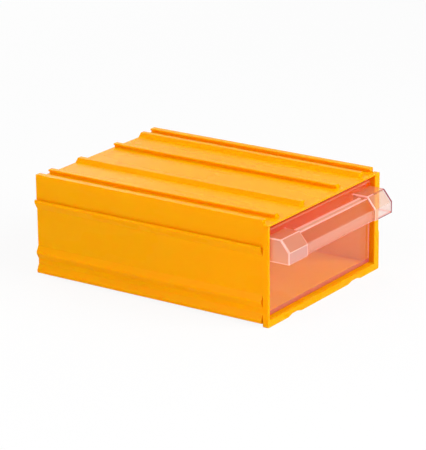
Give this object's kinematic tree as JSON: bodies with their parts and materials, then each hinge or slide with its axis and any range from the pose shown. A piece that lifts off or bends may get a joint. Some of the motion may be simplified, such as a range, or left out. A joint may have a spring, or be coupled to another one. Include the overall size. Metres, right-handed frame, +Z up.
{
  "type": "stackable drawer box",
  "caption": "Closed plastic sleeve with hooked ribs and side rails that link it to its neighbours, holding a clear pull-out drawer with a moulded full-width handle.",
  "frame": {"origin": "on the table, under the middle of the whole closed box", "axes": "+Z up, -Y out of the mouth along the drawer's travel, +X to the right as seen from the front"},
  "size_m": [0.1584, 0.2258, 0.0806],
  "materials": {
    "housing_plastic": "glossy opaque orange-yellow moulded plastic",
    "drawer_plastic": "clear pink-tinted moulded plastic, polished"
  },
  "bodies": {
    "housing": {"housing": "housing_plastic"},
    "drawer": {"drawer": "drawer_plastic"}
  },
  "joints": [
    {"name": "drawer_slide", "type": "slide", "parent": "housing", "child": "drawer", "axis": [0, -1, 0], "range_m": [0, 0.176]}
  ]
}
